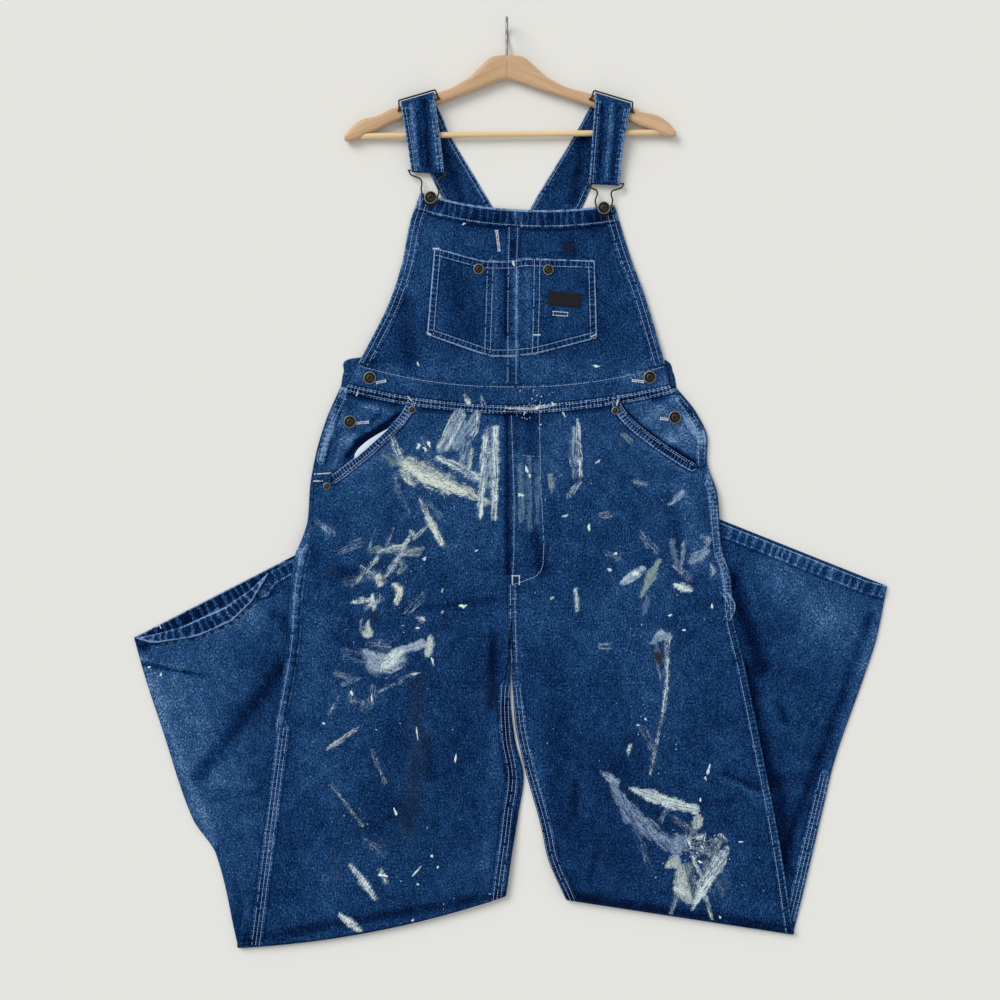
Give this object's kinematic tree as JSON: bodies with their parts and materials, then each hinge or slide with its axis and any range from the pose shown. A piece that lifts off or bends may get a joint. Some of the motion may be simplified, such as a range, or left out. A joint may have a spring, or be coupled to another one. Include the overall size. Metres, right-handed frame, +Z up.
{
  "type": "paint spattered bib overalls on a wooden hanger",
  "caption": "Worn denim bib overalls with paint spatters, laid face up on a wooden hanger, with the lower legs folded behind and splayed to both sides.",
  "frame": {"origin": "centre of the bounding box's bottom face, on the surface that the garment lies on", "axes": "+Z up, out of the garment's front; +Y from the knees to the hanger's hook; +X to the wearer's left"},
  "size_m": [1.0195, 1.2551, 0.0423],
  "materials": {
    "denim": "washed blue twill, faded on seams and folds, with white, grey and cream paint",
    "denim_inside": "darker blue twill where it is shaded or faces inward",
    "pocket_cotton": "plain white cotton",
    "label_cloth": "black woven cloth, bare",
    "aged_brass": "dark aged brass, worn bright on the rims",
    "dark_wire": "darkened wire, slightly rusty",
    "hook_steel": "bright drawn wire",
    "beech": "clear satin varnish"
  },
  "bodies": {
    "root": {"back_bib": "denim_inside", "bib_button_left": "aged_brass", "bib_button_right": "aged_brass", "bib_left": "denim", "bib_pocket": "denim", "bib_right": "denim", "bib_top_band": "denim", "buckle_left": "dark_wire", "buckle_right": "dark_wire", "hammer_loop": "denim", "hanger_arm_left": "beech", "hanger_arm_right": "beech", "hanger_bar": "beech", "hanger_hook": "hook_steel", "hip_button_left": "aged_brass", "hip_button_right": "aged_brass", "hip_facing_left": "denim_inside", "hip_facing_right": "denim_inside", "label": "label_cloth", "leg_back_left": "denim", "leg_back_right": "denim", "leg_front_left": "denim", "leg_front_right": "denim", "pocket_band_left": "denim", "pocket_band_right": "denim", "pocket_button_left": "aged_brass", "pocket_button_right": "aged_brass", "pocket_lining": "pocket_cotton", "rivet_left": "aged_brass", "rivet_pocket": "aged_brass", "rivet_right": "aged_brass", "rule_pocket": "denim", "slider_left": "dark_wire", "slider_right": "dark_wire", "strap_left": "denim", "strap_right": "denim", "waist_button_left": "aged_brass", "waist_button_right": "aged_brass", "waistband": "denim"}
  },
  "joints": []
}
